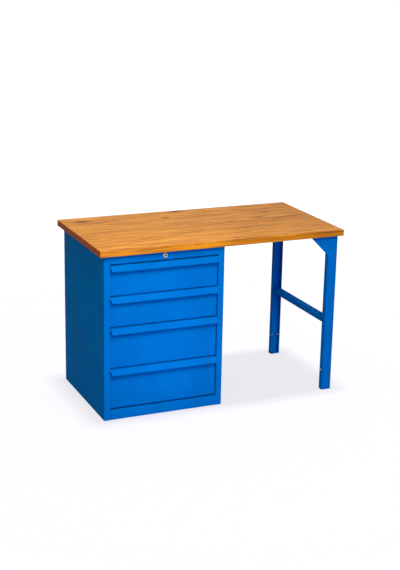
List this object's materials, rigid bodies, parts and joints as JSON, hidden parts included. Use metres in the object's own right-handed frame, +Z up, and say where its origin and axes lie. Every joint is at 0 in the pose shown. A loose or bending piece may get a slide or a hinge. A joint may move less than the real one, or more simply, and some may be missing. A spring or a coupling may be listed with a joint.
{
  "type": "workbench with drawers",
  "caption": "Workbench with a wooden worktop over a lockable sheet-steel drawer cabinet at one end and a braced leg frame with levelling feet at the other.",
  "frame": {"origin": "on the floor, under the middle of the worktop", "axes": "+X along the bench from the cabinet to the leg frame, +Y from the front to the back, +Z up"},
  "size_m": [1.25, 0.65, 0.83],
  "materials": {
    "blue_powder_coat": "satin powder coat, fine orange-peel",
    "worktop_wood": "oiled solid wood, grain along the bench",
    "bright_zinc": "bright zinc plating",
    "slide_steel": "galvanised strip steel",
    "lock_nickel": "satin nickel"
  },
  "bodies": {
    "bench": {"worktop": "worktop_wood", "left_side_panel": "blue_powder_coat", "right_side_panel": "blue_powder_coat", "back_panel": "blue_powder_coat", "cabinet_floor": "blue_powder_coat", "plinth": "blue_powder_coat", "fascia": "blue_powder_coat", "rear_rail": "blue_powder_coat", "front_uprights": "slide_steel", "rear_uprights": "slide_steel", "fixed_slides": "slide_steel", "slide_screws": "bright_zinc", "lock_housing": "lock_nickel", "lock_nut": "bright_zinc", "bar_guides": "bright_zinc", "back_rivets": "bright_zinc", "cabinet_screws": "bright_zinc", "front_leg": "blue_powder_coat", "rear_leg": "blue_powder_coat", "leg_top_rail": "blue_powder_coat", "cross_rail": "blue_powder_coat", "front_gusset": "blue_powder_coat", "rear_gusset": "blue_powder_coat", "leg_screws": "bright_zinc", "foot_bolts": "bright_zinc", "foot_nuts": "bright_zinc"},
    "lock_barrel": {"lock_plug": "lock_nickel", "lock_cam": "bright_zinc", "cam_screw": "bright_zinc"},
    "locking_bar": {"locking_bar": "bright_zinc"},
    "front_foot": {"front_foot": "blue_powder_coat"},
    "rear_foot": {"rear_foot": "blue_powder_coat"},
    "drawer_1": {"drawer_1_tray": "blue_powder_coat", "drawer_1_front": "blue_powder_coat", "drawer_1_grip": "blue_powder_coat", "drawer_1_catch": "bright_zinc", "drawer_1_screws": "bright_zinc", "drawer_1_slide": "slide_steel"},
    "mid_slides_1": {"drawer_1_mid_slide": "slide_steel"},
    "drawer_2": {"drawer_2_tray": "blue_powder_coat", "drawer_2_front": "blue_powder_coat", "drawer_2_grip": "blue_powder_coat", "drawer_2_catch": "bright_zinc", "drawer_2_screws": "bright_zinc", "drawer_2_slide": "slide_steel"},
    "mid_slides_2": {"drawer_2_mid_slide": "slide_steel"},
    "drawer_3": {"drawer_3_tray": "blue_powder_coat", "drawer_3_front": "blue_powder_coat", "drawer_3_grip": "blue_powder_coat", "drawer_3_catch": "bright_zinc", "drawer_3_screws": "bright_zinc", "drawer_3_slide": "slide_steel"},
    "mid_slides_3": {"drawer_3_mid_slide": "slide_steel"},
    "drawer_4": {"drawer_4_tray": "blue_powder_coat", "drawer_4_front": "blue_powder_coat", "drawer_4_grip": "blue_powder_coat", "drawer_4_catch": "bright_zinc", "drawer_4_screws": "bright_zinc", "drawer_4_slide": "slide_steel"},
    "mid_slides_4": {"drawer_4_mid_slide": "slide_steel"}
  },
  "joints": [
    {"name": "lock_turn", "type": "hinge", "parent": "bench", "child": "lock_barrel", "pos_m": [-0.3, -0.3, 0.7775], "axis": [0, 1, 0], "range_deg": [0, 90]},
    {"name": "locking_bar_slide", "type": "slide", "parent": "bench", "child": "locking_bar", "axis": [-1, 0, 0], "range_m": [0, 0.01414]},
    {"name": "front_foot_height", "type": "slide", "parent": "bench", "child": "front_foot", "axis": [0, 0, -1], "range_m": [0, 0.02]},
    {"name": "rear_foot_height", "type": "slide", "parent": "bench", "child": "rear_foot", "axis": [0, 0, -1], "range_m": [0, 0.02]},
    {"name": "drawer_1_pull", "type": "slide", "parent": "bench", "child": "drawer_1", "axis": [0, -1, 0], "range_m": [0, 0.496]},
    {"name": "mid_slides_1_pull", "type": "slide", "parent": "bench", "child": "mid_slides_1", "axis": [0, -1, 0], "range_m": [0, 0.248]},
    {"name": "drawer_2_pull", "type": "slide", "parent": "bench", "child": "drawer_2", "axis": [0, -1, 0], "range_m": [0, 0.496]},
    {"name": "mid_slides_2_pull", "type": "slide", "parent": "bench", "child": "mid_slides_2", "axis": [0, -1, 0], "range_m": [0, 0.248]},
    {"name": "drawer_3_pull", "type": "slide", "parent": "bench", "child": "drawer_3", "axis": [0, -1, 0], "range_m": [0, 0.496]},
    {"name": "mid_slides_3_pull", "type": "slide", "parent": "bench", "child": "mid_slides_3", "axis": [0, -1, 0], "range_m": [0, 0.248]},
    {"name": "drawer_4_pull", "type": "slide", "parent": "bench", "child": "drawer_4", "axis": [0, -1, 0], "range_m": [0, 0.496]},
    {"name": "mid_slides_4_pull", "type": "slide", "parent": "bench", "child": "mid_slides_4", "axis": [0, -1, 0], "range_m": [0, 0.248]}
  ],
  "couplings": [
    {"joint": "lock_turn", "follows": "locking_bar_slide", "rad_per_m": 111.08},
    {"joint": "mid_slides_1_pull", "follows": "drawer_1_pull", "ratio": 0.5},
    {"joint": "mid_slides_2_pull", "follows": "drawer_2_pull", "ratio": 0.5},
    {"joint": "mid_slides_3_pull", "follows": "drawer_3_pull", "ratio": 0.5},
    {"joint": "mid_slides_4_pull", "follows": "drawer_4_pull", "ratio": 0.5}
  ]
}
